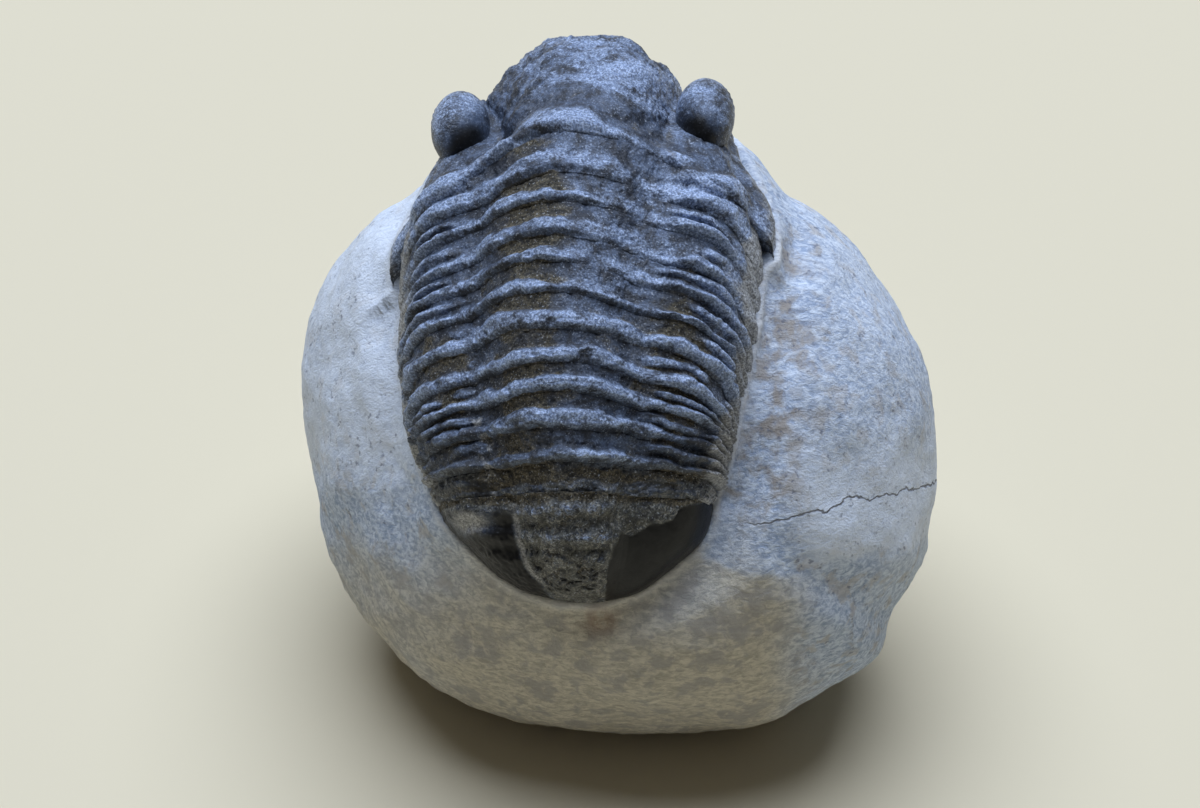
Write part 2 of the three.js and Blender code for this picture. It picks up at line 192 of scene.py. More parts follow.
def spine(s):
    """v, w and tilt of the base line at places s along it."""
    s = np.asarray(s, float)
    v = np.full(s.shape, TAIL[1])
    w = np.full(s.shape, TAIL[2])
    tilt = np.full(s.shape, math.radians(START_TILT))
    left = s.copy()
    for i, (length, turn) in enumerate(ARCS):
        bend = math.radians(turn) / length
        low = -length if i == 0 else 0
        high = 2 * length if i == len(ARCS) - 1 else length
        end = tilt + bend * np.clip(left, low, high)
        v = v + (np.sin(end) - np.sin(tilt)) / bend
        w = w + (np.cos(end) - np.cos(tilt)) / bend
        tilt = end
        left = left - length
    return v, w, tilt


def place(s, x, z):
    """Bed points of places s along the body, x across it and z above its base line."""
    v, w, tilt = spine(s)
    roll = np.radians(along(ROLL, s))
    across = x * np.cos(roll) - z * np.sin(roll)
    out = x * np.sin(roll) + z * np.cos(roll)
    u = TAIL[0] + along(SIDE_SHIFT, s) + across
    return np.stack([u, v + out * np.sin(tilt), w + out * np.cos(tilt)], -1)


def profile(s, q, half):
    """Across and up of the back at q, before the furrows beside the middle are softened."""
    a = np.abs(q)
    width = half(s)
    axis = np.minimum(along(AXIS_HALF, s), 0.8 * width)
    furrow = along(FURROW_HEIGHT, s)
    turn = np.clip(a / FURROW_Q, 0, 1) * np.pi / 2
    vault = np.clip(np.cos(turn), 0, 1) ** mix(*VAULT_POWERS, smooth(s, NECK, 32))
    side = np.clip((a - FURROW_Q) / (1 - FURROW_Q), 0, 1) * np.pi / 2
    reach = axis + (width - axis) * np.sin(side) ** FLANK_POWERS[0]
    fall = furrow * np.clip(np.cos(side), 0, 1) ** FLANK_POWERS[1]
    x = np.sign(q) * np.where(a < FURROW_Q, axis * np.sin(turn), reach)
    z = np.where(a < FURROW_Q, furrow + along(AXIS_HEIGHT, s) * vault, fall)
    return x, z


def section(s, q, half):
    """The profile with its furrows softened, less so on the head and at the margins."""
    near = smooth(1 - np.abs(q), 0, 0.15) * mix(1.0, 0.35, smooth(s, NECK, 31))
    x, z = 0, 0
    for step, share in SOFTENING:
        one_x, one_z = profile(s, q + step * near, half)
        x, z = x + share * one_x, z + share * one_z
    return x, z


def back(s, q, half):
    """Bed points of the smooth back, and which way is out of it there."""
    step = 0.02
    x, z = section(s, q, half)
    x0, z0 = section(s, np.maximum(q - step, -1), half)
    x1, z1 = section(s, np.minimum(q + step, 1), half)
    length = np.hypot(x1 - x0, z1 - z0)
    here = place(s, x, z)
    out = place(s, x - (z1 - z0) / length, z + (x1 - x0) / length) - here
    return here, out


def body_half(s):
    return along(BODY_HALF, s)


def notch(s, q):
    """How much narrower than its table the body is, most at the tail shield's rear margins."""
    right, left = [sum(less * bump(s, at, wide) for less, at, wide in rows)
                   for rows in (NARROWER_RIGHT, NARROWER_LEFT)]
    return right * smooth(q, 0.2, 0.9) + left * smooth(-q, 0.2, 0.9)


def cephalon_half(s):
    return along(CEPHALON_HALF, s)


def sweep(q):
    """How far the rings and ribs run back at q in the front part, with a slight slant to the right."""
    a = np.abs(q)
    ring = 0.65 * np.clip(a / FURROW_Q, 0, 1) ** 2
    side = np.clip((a - FURROW_Q) / (1 - FURROW_Q), 0, 1)
    return -ring - 0.5 * side - 3.4 * side ** 2.5 - 0.45 * q


def swept(s, q):
    """Places along the body that a straight line across it at s passes through when it is swept back."""
    return s + sweep(q) * along(SWEEP_SHARE, s) + waver(s, q)


def waver(s, q):
    """The joints' own unevenness, the same for the plates on both sides of one."""
    spot = np.stack(np.broadcast_arrays(q * 9.0, s, 0.5), -1)
    return 0.24 * noise(spot / 3.6, 36) + 0.10 * noise(spot / 1.3, 37)


def cheek_sweep(q):
    """Place of the head shield's rear edge at q, from the neck, and below zero is further back."""
    a = np.abs(q)
    reach = np.where(q < 0, GENAL_REACH[0], GENAL_REACH[1])
    return sweep(q) - 1.3 * smooth(a, 0.42, 0.56) - reach * smooth(a, 0.6, 1)


def joint_at(k):
    """Where plate k, counted from the tail, starts."""
    share = sum(SEGMENT_LENGTHS[:k]) / sum(SEGMENT_LENGTHS)
    return PYGIDIUM_LENGTH + (NECK - PYGIDIUM_LENGTH) * share


# Meshes

def stand(bed):
    """Bed points in the shared frame, in metres."""
    u, v, w = np.moveaxis(bed, -1, 0)
    x = u + SHIFT[0]
    y = v * math.cos(BED_LEAN) - w * math.sin(BED_LEAN) + SHIFT[1]
    z = v * math.sin(BED_LEAN) + w * math.cos(BED_LEAN) + BASE_DEPTH
    return np.stack([x, y, z], -1) * MM


def make_object(name, points, faces, tones):
    """A smooth mesh whose tones, one value a point, are read by its material."""
    mesh = bpy.data.meshes.new(name)
    mesh.from_pydata(points.reshape(-1, 3).tolist(), [], faces)
    mesh.validate()
    for tone, values in tones.items():
        layer = mesh.attributes.new(tone, "FLOAT", "POINT")
        layer.data.foreach_set("value", np.ascontiguousarray(values, dtype=np.float32).ravel())
    mesh.polygons.foreach_set("use_smooth", [True] * len(mesh.polygons))
    piece = bpy.data.objects.new(name, mesh)
    bpy.context.scene.collection.objects.link(piece)
    return piece


def slab(name, top, under, tones, every):
    """Closed solid between a fine top grid and an underside that keeps only every few rows."""
    rows, columns = top.shape[:2]
    kept = sorted({*range(0, rows, every), rows - 1})
    under = under[kept]
    grid = np.arange(rows * columns).reshape(rows, columns)
    below = rows * columns + np.arange(len(kept) * columns).reshape(len(kept), columns)
    upper = np.stack([grid[:-1, :-1], grid[:-1, 1:], grid[1:, 1:], grid[1:, :-1]], -1)
    lower = np.stack([below[:-1, :-1], below[1:, :-1], below[1:, 1:], below[:-1, 1:]], -1)
    faces = upper.reshape(-1, 4).tolist() + lower.reshape(-1, 4).tolist()
    faces += np.stack([grid[0, :-1], below[0, :-1], below[0, 1:], grid[0, 1:]], -1).tolist()
    faces += np.stack([grid[-1, :-1], grid[-1, 1:], below[-1, 1:], below[-1, :-1]], -1).tolist()
    for n in range(len(kept) - 1):
        first, last = kept[n], kept[n + 1]
        left = [int(grid[r, 0]) for r in range(first, last + 1)]
        right = [int(grid[r, -1]) for r in range(first, last + 1)]
        faces.append([int(below[n, 0]), *left, int(below[n + 1, 0])])
        faces.append([int(below[n + 1, -1]), *reversed(right), int(below[n, -1])])
    points = np.concatenate([stand(top).reshape(-1, 3), stand(under).reshape(-1, 3)])
    spread = {tone: np.concatenate([v.ravel(), np.full(under.shape[0] * columns, v.mean())])
              for tone, v in tones.items()}
    return make_object(name, points, faces, spread)


def columns_across(count):
    return np.linspace(-1, 1, count)


def ringed(rows, columns):
    """A grid that closes round: its points' numbers, those of the next column, and its faces."""
    grid = np.arange(rows * columns).reshape(rows, columns)
    after = np.roll(grid, -1, axis=1)
    faces = np.stack([grid[:-1], after[:-1], after[1:], grid[1:]], -1).reshape(-1, 4).tolist()
    return grid, after, faces


# The plates

# From the head to the tail: how much of a plate's length its ring takes, and how strong its relief is
RING_SHARE = [0.50, 0.45, 0.42, 0.42, 0.34, 0.50, 0.46, 0.46, 0.46, 0.36, 0.30]
RING_STRENGTH = [1, 1, 1, 1, 1, 1, 1, 1, 1.05, 1.1, 0.2]

# Paler and darker spots on the back: centre and half widths, as u and v, and how much paler. Those darker at
# (6.6, 22.4) and (-10.8, 22.4) are painted shade at the eyes' bases.
SPOTS_AND_EYE_SHADE = [
    (0.6, 27.0, 3.0, 0.7, 0.5), (-3.5, 25.1, 2.4, 0.6, -0.8), (0.9, 23.7, 2.2, 0.6, -0.8),
    (-2.0, 23.1, 2.2, 0.9, 0.4), (2.2, 20.1, 1.3, 0.8, -0.7), (4.8, 18.5, 2.6, 0.8, 0.6),
    (6.2, 20.3, 1.6, 0.5, -0.6), (3.8, 11.3, 2.2, 0.7, -0.6), (2.5, 9.4, 1.3, 0.6, -0.7),
    (-8.0, 26.2, 1.6, 2.2, -0.45), (2.4, 28.4, 1.5, 0.8, -0.6), (-4.6, 27.8, 1.5, 1.0, -0.3),
    (6.6, 22.4, 2.2, 0.8, -0.8), (-10.8, 22.4, 1.8, 0.8, -0.6), (-8.7, 24.0, 0.8, 2.0, -0.7),
    (-6.2, 22.7, 2.6, 0.5, -1.0), (-4.5, 20.2, 2.8, 0.5, -0.8), (-5.0, 15.6, 2.4, 0.4, -0.8),
    (6.9, 20.3, 2.4, 0.6, -0.6), (9.4, 17.2, 1.7, 2.6, -0.45), (-6.6, 12.9, 2.6, 0.5, -0.5),
    (-6.8, 10.9, 2.8, 0.5, -0.5),
]

# Glossy spots on the last plates: centre and half widths, as u and v, and how strong
GLOSSY = [(-9.3, -1.9, 1.6, 0.8, 1.0), (2.4, -1.7, 2.0, 0.6, 0.9)]

OLIVE_BAND = (-0.85, 0.45)        # of crumbly earth before the tail shield: v and half width


def spots_and_eye_shade(bed):
    """How much paler, or darker below zero, the shell is, with painted shade at the eyes' bases."""
    u, v = bed[..., 0], bed[..., 1]
    return sum(paler * np.exp(-((u - at_u) / wide) ** 2 - ((v - at_v) / high) ** 2)
               for at_u, at_v, wide, high, paler in SPOTS_AND_EYE_SHADE)


def worn(bed):
    """The patch right of the middle where the front rings are worn down."""
    u, v = bed[..., 0], bed[..., 1]
    ragged = 1.3 * rough(bed, 2.6, 3, 19) + 1.8 * smooth(v, 18, 22)
    across = smooth(u + ragged, -4.6, -0.6) * (1 - smooth(u + ragged, 2.2, 4.6))
    ahead = smooth(v + ragged, 9, 14) * (1 - smooth(v, 25, 28))
    return across * ahead


def flattened(bed):
    """Where the ribs run out into the rubbed right cheek and margin, and a little on the left."""
    u, v = bed[..., 0], bed[..., 1]
    ragged = 0.9 * rough(bed, 2.4, 3, 21)
    right = smooth(u + ragged, 6.6, 8.6) * smooth(v + ragged, 8, 11)
    left = smooth(-u + ragged, 13.6, 15.0) * smooth(v, 6, 10)
    return np.clip(right + left, 0, 1)


def earthy(bed):
    """How much brown earth is left in the grooves: most left of the middle and low on the right."""
    u, v = bed[..., 0], bed[..., 1]
    left = 0.9 * bump(u, -6.2, 3.0) * smooth(v, 25, 22)
    right = 1.3 * bump(u, 4.0, 3.4) * bump(v, 7.5, 6.5)
    flank = 0.6 * bump(u, -12.5, 2.5) * bump(v, 5, 6)
    return np.clip(0.1 + left + 0.7 * right + flank - 0.8 * worn(bed) + 0.35 * noise(bed / 3.0, 38), 0, 1)


def dusty(bed, q):
    """Pale stone dust towards the margins."""
    a = np.abs(q)
    u, v = bed[..., 0], bed[..., 1]
    edge = 1.2 * smooth(a + 0.07 * noise(bed / 1.6, 43), 0.78, 0.99)
    corner = 1.3 * smooth(u + 0.9 * noise(bed / 1.2, 44), 4.9, 7.0) * (1 - smooth(v, 0.5, 5))
    corner = corner + 0.5 * flattened(bed)
    furrow = 1.1 * bump(q, -0.47, 0.05) * (1 - smooth(v, 2, 7)) * smooth(noise(bed / 0.8, 45), -0.4, 0.5)
    return np.clip(edge + corner + furrow + 0.35 * noise(bed / 1.8, 39) * smooth(a, 0.5, 0.7), 0, 1.3)


def grit(bed, seed):
    """Fine unevenness, in millimetres."""
    return 0.08 * rough(bed, 1.7, 3, seed) + 0.045 * rough(bed, 0.35, 2, seed + 9)


def slanted(bed, seed):
    """Scratches that run down to the right."""
    u, v, w = np.moveaxis(bed, -1, 0)
    turned = np.stack([0.85 * u + 0.53 * v, (0.53 * u - 0.85 * v) / 4, w], -1)
    return rough(turned, 0.9, 2, seed)


def rings(t, q, here, number):
    """How high the ring and the ribs of a plate stand, 0 to 1, and t with their unevenness."""
    wander = t + 0.15 * noise(here / 3.5, 40 + number) + 0.08 * noise(here / 1.2, 60 + number)
    wander = wander + 0.03 * noise(here / 0.5, 160 + number)
    spread = RING_SHARE[number - 1] + 0.14 * noise(here / 2.4, 200 + number)
    rear = smooth(t + 0.07 * noise(here / 1.1, 80 + number), -0.03, 0.18)
    ring = rear * (1 - smooth(wander, spread - 0.14, spread + 0.18))
    rib = rear * (1 - smooth(wander, 0.8 * spread - 0.10, 0.8 * spread + 0.18))
    patch = smooth(noise(here * [0.5, 1, 1] / 2.6, 120 + number), -0.35, 0.25)
    second = 0.8 * patch * smooth(wander, 0.50, 0.62) * (1 - smooth(wander, 0.74, 0.92))
    chips = smooth(rough(here / 1.5, 1.0, 2, 220 + number), 0.35, 0.65)
    height = mix(ring, np.maximum(rib, second), smooth(np.abs(q), 0.36, 0.56)) * (1 - 0.4 * chips)
    return height, wander


def plate_tones(t, q, here, number, height, wander, strength):
    """The tones of a plate's points, which the shell's material reads."""
    u, v = here[..., 0], here[..., 1]
    groove = 1 - smooth(height, 0.12, 0.5)
    low = 1 - smooth(v, -2, 2)
    band_at, band_half = OLIVE_BAND
    band = 0.9 * bump(v + 0.3 * noise(here / 1.5, 46), band_at, band_half) * smooth(np.abs(u + 1.5), 8.5, 6)
    soil = groove * earthy(here) * np.clip(1.5 + 1.2 * spots_and_eye_shade(here), 0.3, 1) + band + 0.15 * groove * low

    mottled = 1 + 0.55 * noise(here * [0.6, 1.2, 1.2] / 1.3, 250 + number)
    # Paler on the ring and rib tops: partly worn shell, partly a painted highlight where light falls on them.
    crest = 0.58 * height ** 1.5 * np.clip(strength + 0.45 * worn(here), 0, 1.1) * mottled
    # Painted highlight: a pale line along the ridges' edge on the right flank.
    edge = 0.5 * bump(wander, 0.20, 0.06) * smooth(q, 0.5, 0.8)
    flank = 0.28 * smooth(q, 0.45, 0.7) + 0.06 * smooth(-q, 0.45, 0.7) + spots_and_eye_shade(here)
    middle = mix(np.exp(-((u + 1.3) / 3.2) ** 2), 1, smooth(v, 0.5, 4))
    # Painted shade: the front of each plate, under the rear edge of the plate ahead of it, is darkened.
    painted_crevice_shade = 0.9 * smooth(t + 0.06 * noise(here / 0.9, 270 + number), 0.74, 0.92) * (1 - 0.6 * worn(here))

    glossy = sum(strong * np.exp(-((u - at_u) / wide) ** 4 - ((v - at_v) / high) ** 4)
                 for at_u, at_v, wide, high, strong in GLOSSY)
    return {
        "soil": np.clip(soil, 0, 1),
        "crest": (0.30 + crest + edge + flank) * middle - painted_crevice_shade - 0.4 * groove * (1 - smooth(v, 1, 5)),
        "polish_and_painted_shade": 0.8 * np.clip(glossy + 0.3 * noise(here / 0.7, 240), 0, 1) * smooth(glossy, 0, 0.3),
        "dust": dusty(here, q) + 0.5 * band,
        "net": 0.7 * (1 - smooth(v, -3, 1.5)),
    }


def plate(k, number):
    """The plate that is k from the tail, counted from 0, and number from the head."""
    rows = np.concatenate([np.linspace(0, 0.3, 14, endpoint=False), np.linspace(0.3, 1.12, 28)])
    t, q = np.meshgrid(rows, columns_across(PLATE_COLUMNS), indexing="ij")
    s = swept(mix(joint_at(k), joint_at(k + 1), t), q)
    scallop = 0.3 * np.sin(np.pi * np.clip(t, 0, 1)) - 0.1
    here, out = back(s, q, lambda place_at: body_half(place_at) - notch(place_at, q) + scallop)
    a = np.abs(q)
    height, wander = rings(t, q, here, number)
    strength = 1 + 0.40 * noise(here / 2.6, 20 + number) + 0.14 * noise(here / 0.8, 180 + number)
    strength = (strength - 0.75 * worn(here)) * RING_STRENGTH[number - 1]
    relief = mix(0.53, mix(0.56, 0.70, q > 0), smooth(a, 0.36, 0.56)) * (1 - 0.6 * smooth(a, 0.86, 1))
    relief = relief * (1 - 0.75 * flattened(here)) * strength * (1 - 0.4 * bump(a, 0.47, 0.06))
    dive = -0.5 * smooth(t, 0.99, 1.12)
    pits = -0.12 * smooth(noise(here / 0.5, 140 + number), 0.3, 0.8)
    texture = grit(here, 100 + number) * (2.5 - 1.5 * smooth(here[..., 1], 0, 5))
    texture = texture + 0.13 * slanted(here, 230) * np.maximum(flattened(here), 0.5 * worn(here))
    raised = here + out * (relief * height + dive + pits + texture)[..., None]
    under = place(s, q * (body_half(s) - notch(s, q)), -SINK)
    tones = plate_tones(t, q, here, number, height, wander, strength)
    return slab(f"plate_{number:02d}", raised, under, tones, 12)


# The tail shield

# The edges of its axis, as v and u
TAIL_AXIS_LEFT = [(-9.5, -4.2), (-8.4, -5.1), (-7.0, -6.3), (-5.3, -6.8), (-2.5, -7.15), (1, -7.4)]
TAIL_AXIS_RIGHT = [
    (-9.5, -1.9), (-7.7, -1.3), (-7.0, -0.95), (-5.6, -0.48), (-3.9, -0.48), (-1.9, 0.2), (1, 0.8),
]

# The edges of the patch with its polish: on the left as v and u, at the top as u and v
POLISHED_LEFT = [(-9.5, -0.9), (-7.7, -0.9), (-6.3, -0.5), (-4.9, -0.05), (-4.0, 0.2)]
POLISHED_TOP = [
    (-0.5, -5.3), (0, -4.9), (1.45, -4.6), (2.5, -4.05), (3.7, -3.7), (4.3, -2.95), (5.1, -2.75), (7, -2.4),
]

TAIL_WAVE = (0.9, 1.45)           # from its front edge to its first rib's crest, and the ribs' spacing
SCUFF_AT, SCUFF_HALF = (-10.2, -4.1), (1.4, 0.9)     # u and v


def pygidium():
    """The tail shield, with ribs on its axis and left side and a bare polished field on the right."""
    rows = (PYGIDIUM_LENGTH + 0.1) * (1 - np.cos(np.linspace(0.02, 1, TAIL_ROWS) * np.pi / 2))
    row, q = np.meshgrid(rows, columns_across(TAIL_COLUMNS), indexing="ij")
    s = row * (swept(PYGIDIUM_LENGTH, q) / PYGIDIUM_LENGTH)
    inward = notch(s, q)
    here, out = back(s, q, lambda place_at: body_half(place_at) - inward)
    a = np.abs(q)
    u, v = here[..., 0], here[..., 1]
    line = row + 0.25 * noise(here / 2.5, 31)
    ragged = 0.16 * rough(here, 1.5, 3, 34)
    left_edge, right_edge = along(TAIL_AXIS_LEFT, v) + ragged, along(TAIL_AXIS_RIGHT, v) + ragged
    axis = smooth(u - left_edge, -0.3, 0.3) * (1 - smooth(u - right_edge, -0.3, 0.3))
    left = smooth(left_edge - u, 0, 0.5)
    wave = 0.5 + 0.5 * np.cos(2 * np.pi * (line - PYGIDIUM_LENGTH + TAIL_WAVE[0]) / TAIL_WAVE[1])
    forward = smooth(row, 1.6, 4.5)
    ribs = 0.42 * wave * axis * forward + 0.30 * wave * left * forward * (1 - smooth(a, 0.7, 0.95))
    web = np.abs(rough(here * [1, 0.8, 0.8], 0.9, 2, 33))
    net = 0.30 * smooth(web, 0.0, 0.35) * axis * (1 - 0.5 * forward) * smooth(row, 0.3, 1.5)
    furrow = bump(u, left_edge, 0.36) + 0.6 * bump(u, right_edge, 0.22)
    trough = -0.22 * furrow * smooth(row, 1.0, 3.0)
    polish_and_painted_shade = smooth(u - along(POLISHED_LEFT, v) + ragged, -0.1, 0.15)
    polish_and_painted_shade = polish_and_painted_shade * (1 - smooth(v - along(POLISHED_TOP, u) + 1.5 * ragged, -0.12, 0.12))
    texture = 2.0 * grit(here, 35) * (1 - 0.93 * polish_and_painted_shade)
    front = -0.05 * smooth(row, PYGIDIUM_LENGTH - 0.25, PYGIDIUM_LENGTH + 0.1)
    raised = here + out * (ribs + net + trough + texture + front)[..., None]
    under = place(s, q * (body_half(s) - inward), -SINK)
    crumbs = 0.5 * axis * (1 - smooth(web, 0.0, 0.3)) + 0.5 * bump(u, left_edge - 0.9, 0.6)
    scuff = bump(u, SCUFF_AT[0], SCUFF_HALF[0]) * bump(v, SCUFF_AT[1], SCUFF_HALF[1])
    low_left = left * smooth(-v + 2.0 * ragged, 3.0, 3.8)
    tones = {
        "soil": np.clip(crumbs + smooth(line, 6.3, 6.7), 0, 1) * (1 - polish_and_painted_shade),
        "crest": np.clip(0.65 * wave * forward * axis, 0, 1),
        "polish_and_painted_shade": np.maximum(polish_and_painted_shade, low_left * (1 - scuff)),
        "dust": np.clip(furrow * smooth(row, 0.8, 2.0) + 1.3 * scuff, 0, 1.2) * (1 - polish_and_painted_shade),
        "net": mix(0.9, 0.3, low_left),
    }
    return slab("tail_shield", raised, under, tones, 15)


# The head

EYE = (3.9, 8.8, 4.55)            # forward of the neck, to the side, above the base line
EYE_SIZE = (2.08, 2.4, 2.25)      # half width, half length, half height
EYE_SETBACK = (0.0, 0.3)          # of the left and right eye, back and towards the middle
CHIPPED_TOP = [                   # the broken upper edge, as u and v
    (-9, 40), (-5.2, 32), (-4.6, 30.3), (-0.2, 30.4), (0.5, 30.15), (1.1, 29.75), (1.65, 29.3), (2.1, 28.7),
    (2.25, 28.45), (3.0, 28.35), (3.5, 28.1), (4.1, 27.4), (5, 26.6), (6, 26.5), (7, 40),
]


def cephalon_top():
    """The head shield without its eyes."""
    near = np.linspace(0, 0.3, 70, endpoint=False)
    far = 0.3 + 0.7 * np.sin(np.linspace(0, np.pi / 2, 110))
    t, q = np.meshgrid(np.concatenate([near, far]), columns_across(HEAD_COLUMNS), indexing="ij")
    reach = FRONT - NECK
    s = NECK + (cheek_sweep(q) + waver(NECK, q)) * (1 - t) ** 2 + reach * t
    here, out = back(s, q, cephalon_half)
    a = np.abs(q)
    step = 0.9 * smooth(here[..., 0], -2.6, -0.2) * (1 - smooth(here[..., 0], 2.5, 5))
    ahead = reach * t + step + 0.3 * noise(here / 3.0, 11) + 0.08 * noise(here / 1.0, 12)
    rear = smooth(reach * t + 0.08 * noise(here / 0.9, 13), -0.05, 0.4)
    occipital = rear * (1 - smooth(ahead, 0.5, 1.5))
    border = rear * (1 - smooth(ahead, 0.8, 1.6))
    side = smooth(a, 0.38, 0.52)
    centre = 0.7 * occipital - 0.5 * bump(ahead, 2.2, 0.6)
    cheeks = 0.6 * border - 0.4 * bump(ahead, 2.1, 0.6)
    relief = mix(centre, cheeks, side)
    relief = relief * (1 - 0.7 * smooth(a, 0.8, 1)) * (1 - 0.4 * worn(here)) * (1 - 0.7 * flattened(here))
    rim = 0.2 * bump(a, 0.93, 0.05) - 0.3 * bump(a, 0.82, 0.05)
    granules = (1 - side) * smooth(ahead, 2.6, 4.0)
    knobs = 0.10 * smooth(noise(here / 0.6, 14), 0.05, 0.7) * granules
    corner = 0.75 * bump(here[..., 0], 1.3, 1.7) + 0.25 * bump(here[..., 0], -4.8, 1.2)
    corner = corner * smooth(here[..., 1], 24, 28.5)
    x = section(s, q, cephalon_half)[0]
    mound = 0.3 * np.exp(-((s - NECK - EYE[0]) / 2.4) ** 2 - ((np.abs(x) - EYE[1]) / 2.0) ** 2)
    mound = mound + 1.4 * np.exp(-((s - NECK - 6.2) / 1.7) ** 2 - ((x + 7.0) / 1.2) ** 2)
    scar = 0.35 * spots_and_eye_shade(here)
    texture = grit(here, 15) * (1.3 + granules) + 0.12 * slanted(here, 230) * smooth(q, 0.5, 0.7)
    raised = here + out * (relief + rim + knobs + corner + mound + scar + texture)[..., None]
    raised[..., 0] -= 0.75 * bump(here[..., 1], 21.3, 1.8) * smooth(q, 0.5, 0.95)
    raised[..., 0] += 0.45 * bump(here[..., 1], 17.8, 1.8) * smooth(-q, 0.5, 0.95)
    limit = along(CHIPPED_TOP, raised[..., 0]) + 0.12 * rough(raised, 0.9, 3, 16)
    chip = smooth(raised[..., 1] - limit, 0, 0.3)
    raised[..., 1] = np.minimum(raised[..., 1], limit)
    under = place(s, q * cephalon_half(s), -SINK)
    ring = mix(occipital, border, side)
    furrow = mix(bump(ahead, 2.3, 0.8), 0.4 * bump(ahead, 2.1, 0.7), side)
    tones = {
        "soil": np.clip(0.45 * furrow + 0.4 * bump(a, 0.46, 0.03) + 0.8 * chip, 0, 1),
        # The crest tone's high base makes the head shell paler all over, partly as painted light where the
        # sky falls on its top.
        "crest": np.clip(0.62 + 0.4 * ring - 0.8 * furrow + spots_and_eye_shade(here), 0, 1.2),
        "polish_and_painted_shade": 0 * q,
        "dust": 0.6 * dusty(here, q) * smooth(a, 0.8, 0.95),
        "net": 0 * q,
    }
    return slab("head_shield", raised, under, tones, 20)


def eye(side):
    """The eye on the left, side -1, or on the right, side 1, with a hollow in its rear face."""
    rise = np.linspace(-np.pi / 2, np.pi / 2, EYE_RINGS)[1:-1]
    turn = np.arange(EYE_SPOKES) * 2 * np.pi / EYE_SPOKES
    rise, turn = np.meshgrid(rise, turn, indexing="ij")
    ball = np.stack([np.cos(rise) * np.cos(turn), np.cos(rise) * np.sin(turn), np.sin(rise)], -1)
    way = np.concatenate([ball.reshape(-1, 3), [[0, 0, -1.0], [0, 0, 1.0]]])
    hollow = unit(np.array([-0.30 * side + 0.08, -0.95, 0.27]))
    painted_highlight_way = unit(np.array([-0.35, 0.1, 0.95]))
    dent = np.exp(-((1 - way @ hollow) / 0.36) ** 2)
    size = 1 - 0.06 * dent + 0.03 * lens_rows(way, side)
    local = way * size[:, None] * np.array(EYE_SIZE)
    setback = EYE_SETBACK[side > 0]
    ahead = NECK + EYE[0] - setback + local[:, 1]
    bed = place(ahead, side * EYE[1] - setback + local[:, 0], EYE[2] + local[:, 2])
    bed = bed + 0.02 * rough(bed, 0.7, 3, 17)[:, None]
    grid, after, faces = ringed(*rise.shape)
    bottom, top = len(way) - 2, len(way) - 1
    faces += [[bottom, int(after[0, i]), int(grid[0, i])] for i in range(EYE_SPOKES)]
    faces += [[top, int(grid[-1, i]), int(after[-1, i])] for i in range(EYE_SPOKES)]
    # Painted highlight: the crest tone is raised on each eye's upper side. Painted shade: in the hollow the
    # crest tone is lowered and the polish tone set, so it turns near black.
    tones = {
        "soil": 0 * dent,
        "crest": 0.35 + 0.35 * smooth(way @ painted_highlight_way, 0.2, 0.9) - 1.6 * dent,
        "polish_and_painted_shade": 0.9 * smooth(dent, 0.0, 1.0),
        "dust": 0 * dent,
        "net": 0 * dent,
    }
    return make_object("eye_left" if side < 0 else "eye_right", stand(bed), faces, tones)


def lens_rows(way, side):
    """Domed lenses in staggered rows on the outer and forward face of an eye."""
    outward = way[:, 0] * side
    height = np.arcsin(np.clip(way[:, 2], -1, 1))
    bearing = np.arctan2(way[:, 1], outward)
    row = (height + 0.55) / 0.17
    stagger = 0.5 * (np.floor(row) % 2)
    column = bearing / 0.21 + stagger
    apart = np.hypot(row % 1 - 0.5, column % 1 - 0.5)
    band = smooth(bearing, -0.1, 0.3) * (1 - smooth(bearing, 1.9, 2.2))
    band = band * smooth(height, -0.6, -0.5) * (1 - smooth(height, 0.42, 0.52))
    return band * (1 - smooth(apart, 0.15, 0.48))


def cephalon():
    """The head shield and both eyes, joined."""
    head = cephalon_top()
    parts = [head, eye(-1), eye(1)]
    with bpy.context.temp_override(active_object=head, selected_editable_objects=parts):
        bpy.ops.object.join()
    return head


# The stone

def buried_half(s, side):
    """Half width of the animal on one side, where the cheek takes over from the plates."""
    corner = NECK + float(cheek_sweep(side))
    step = smooth(s, corner - 0.4, corner + 0.1)
    return mix(body_half(s) - notch(s, side), cephalon_half(s), step)


def edge_line():
    """Closed line round the animal where it leaves the stone, with s and the side along it."""
    s = np.concatenate([np.linspace(0, 2, 14, endpoint=False), np.linspace(2, FRONT, 110)])
    left = place(s, -buried_half(s, -1), 0)
    right = place(s, buried_half(s, 1), 0)
    line = np.concatenate([left[::-1], right])
    return line, np.concatenate([s[::-1], s]), np.concatenate([-np.ones(len(s)), np.ones(len(s))])


def flatten(ways, middle):
    """Directions laid out flat round the middle one, in degrees of arc."""
    side = unit(np.cross([0, 0, 1.0], middle))
    up = np.cross(middle, side)
    angle = np.arccos(np.clip(ways @ middle, -1, 1))
    x, y = ways @ side, ways @ up
    size = np.hypot(x, y) + 1e-9
    return np.stack([x / size * angle, y / size * angle], -1)


